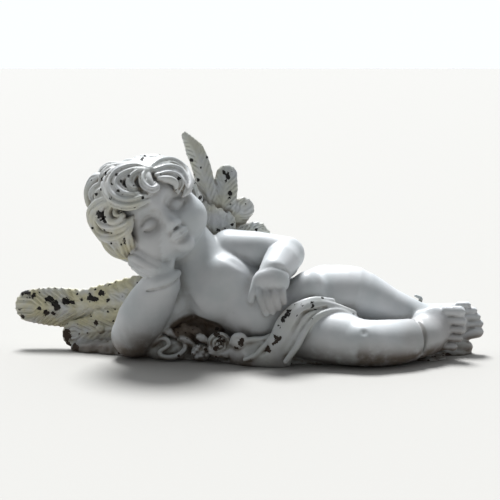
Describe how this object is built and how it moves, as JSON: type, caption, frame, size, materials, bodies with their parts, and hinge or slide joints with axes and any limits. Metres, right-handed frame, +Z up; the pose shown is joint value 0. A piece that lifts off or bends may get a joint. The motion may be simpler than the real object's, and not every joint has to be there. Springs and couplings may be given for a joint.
{
  "type": "stone cherub statue",
  "caption": "Reclining winged cherub asleep on its right hand, a cloth over one thigh, cast in one piece for a garden, shelf or grave, with a flat underside.",
  "frame": {"origin": "middle of the bounding box, on the flat underside", "axes": "+X from the head towards the feet, +Z up, -Y the side that the child's chest faces"},
  "size_m": [0.4374, 0.124, 0.2028],
  "materials": {
    "painted_stone": "cast stone under a matt off-white wash, chipped to near black on the raised edges, with grime in the hollows"
  },
  "bodies": {
    "root": {"cherub_statue": "painted_stone"}
  },
  "joints": []
}
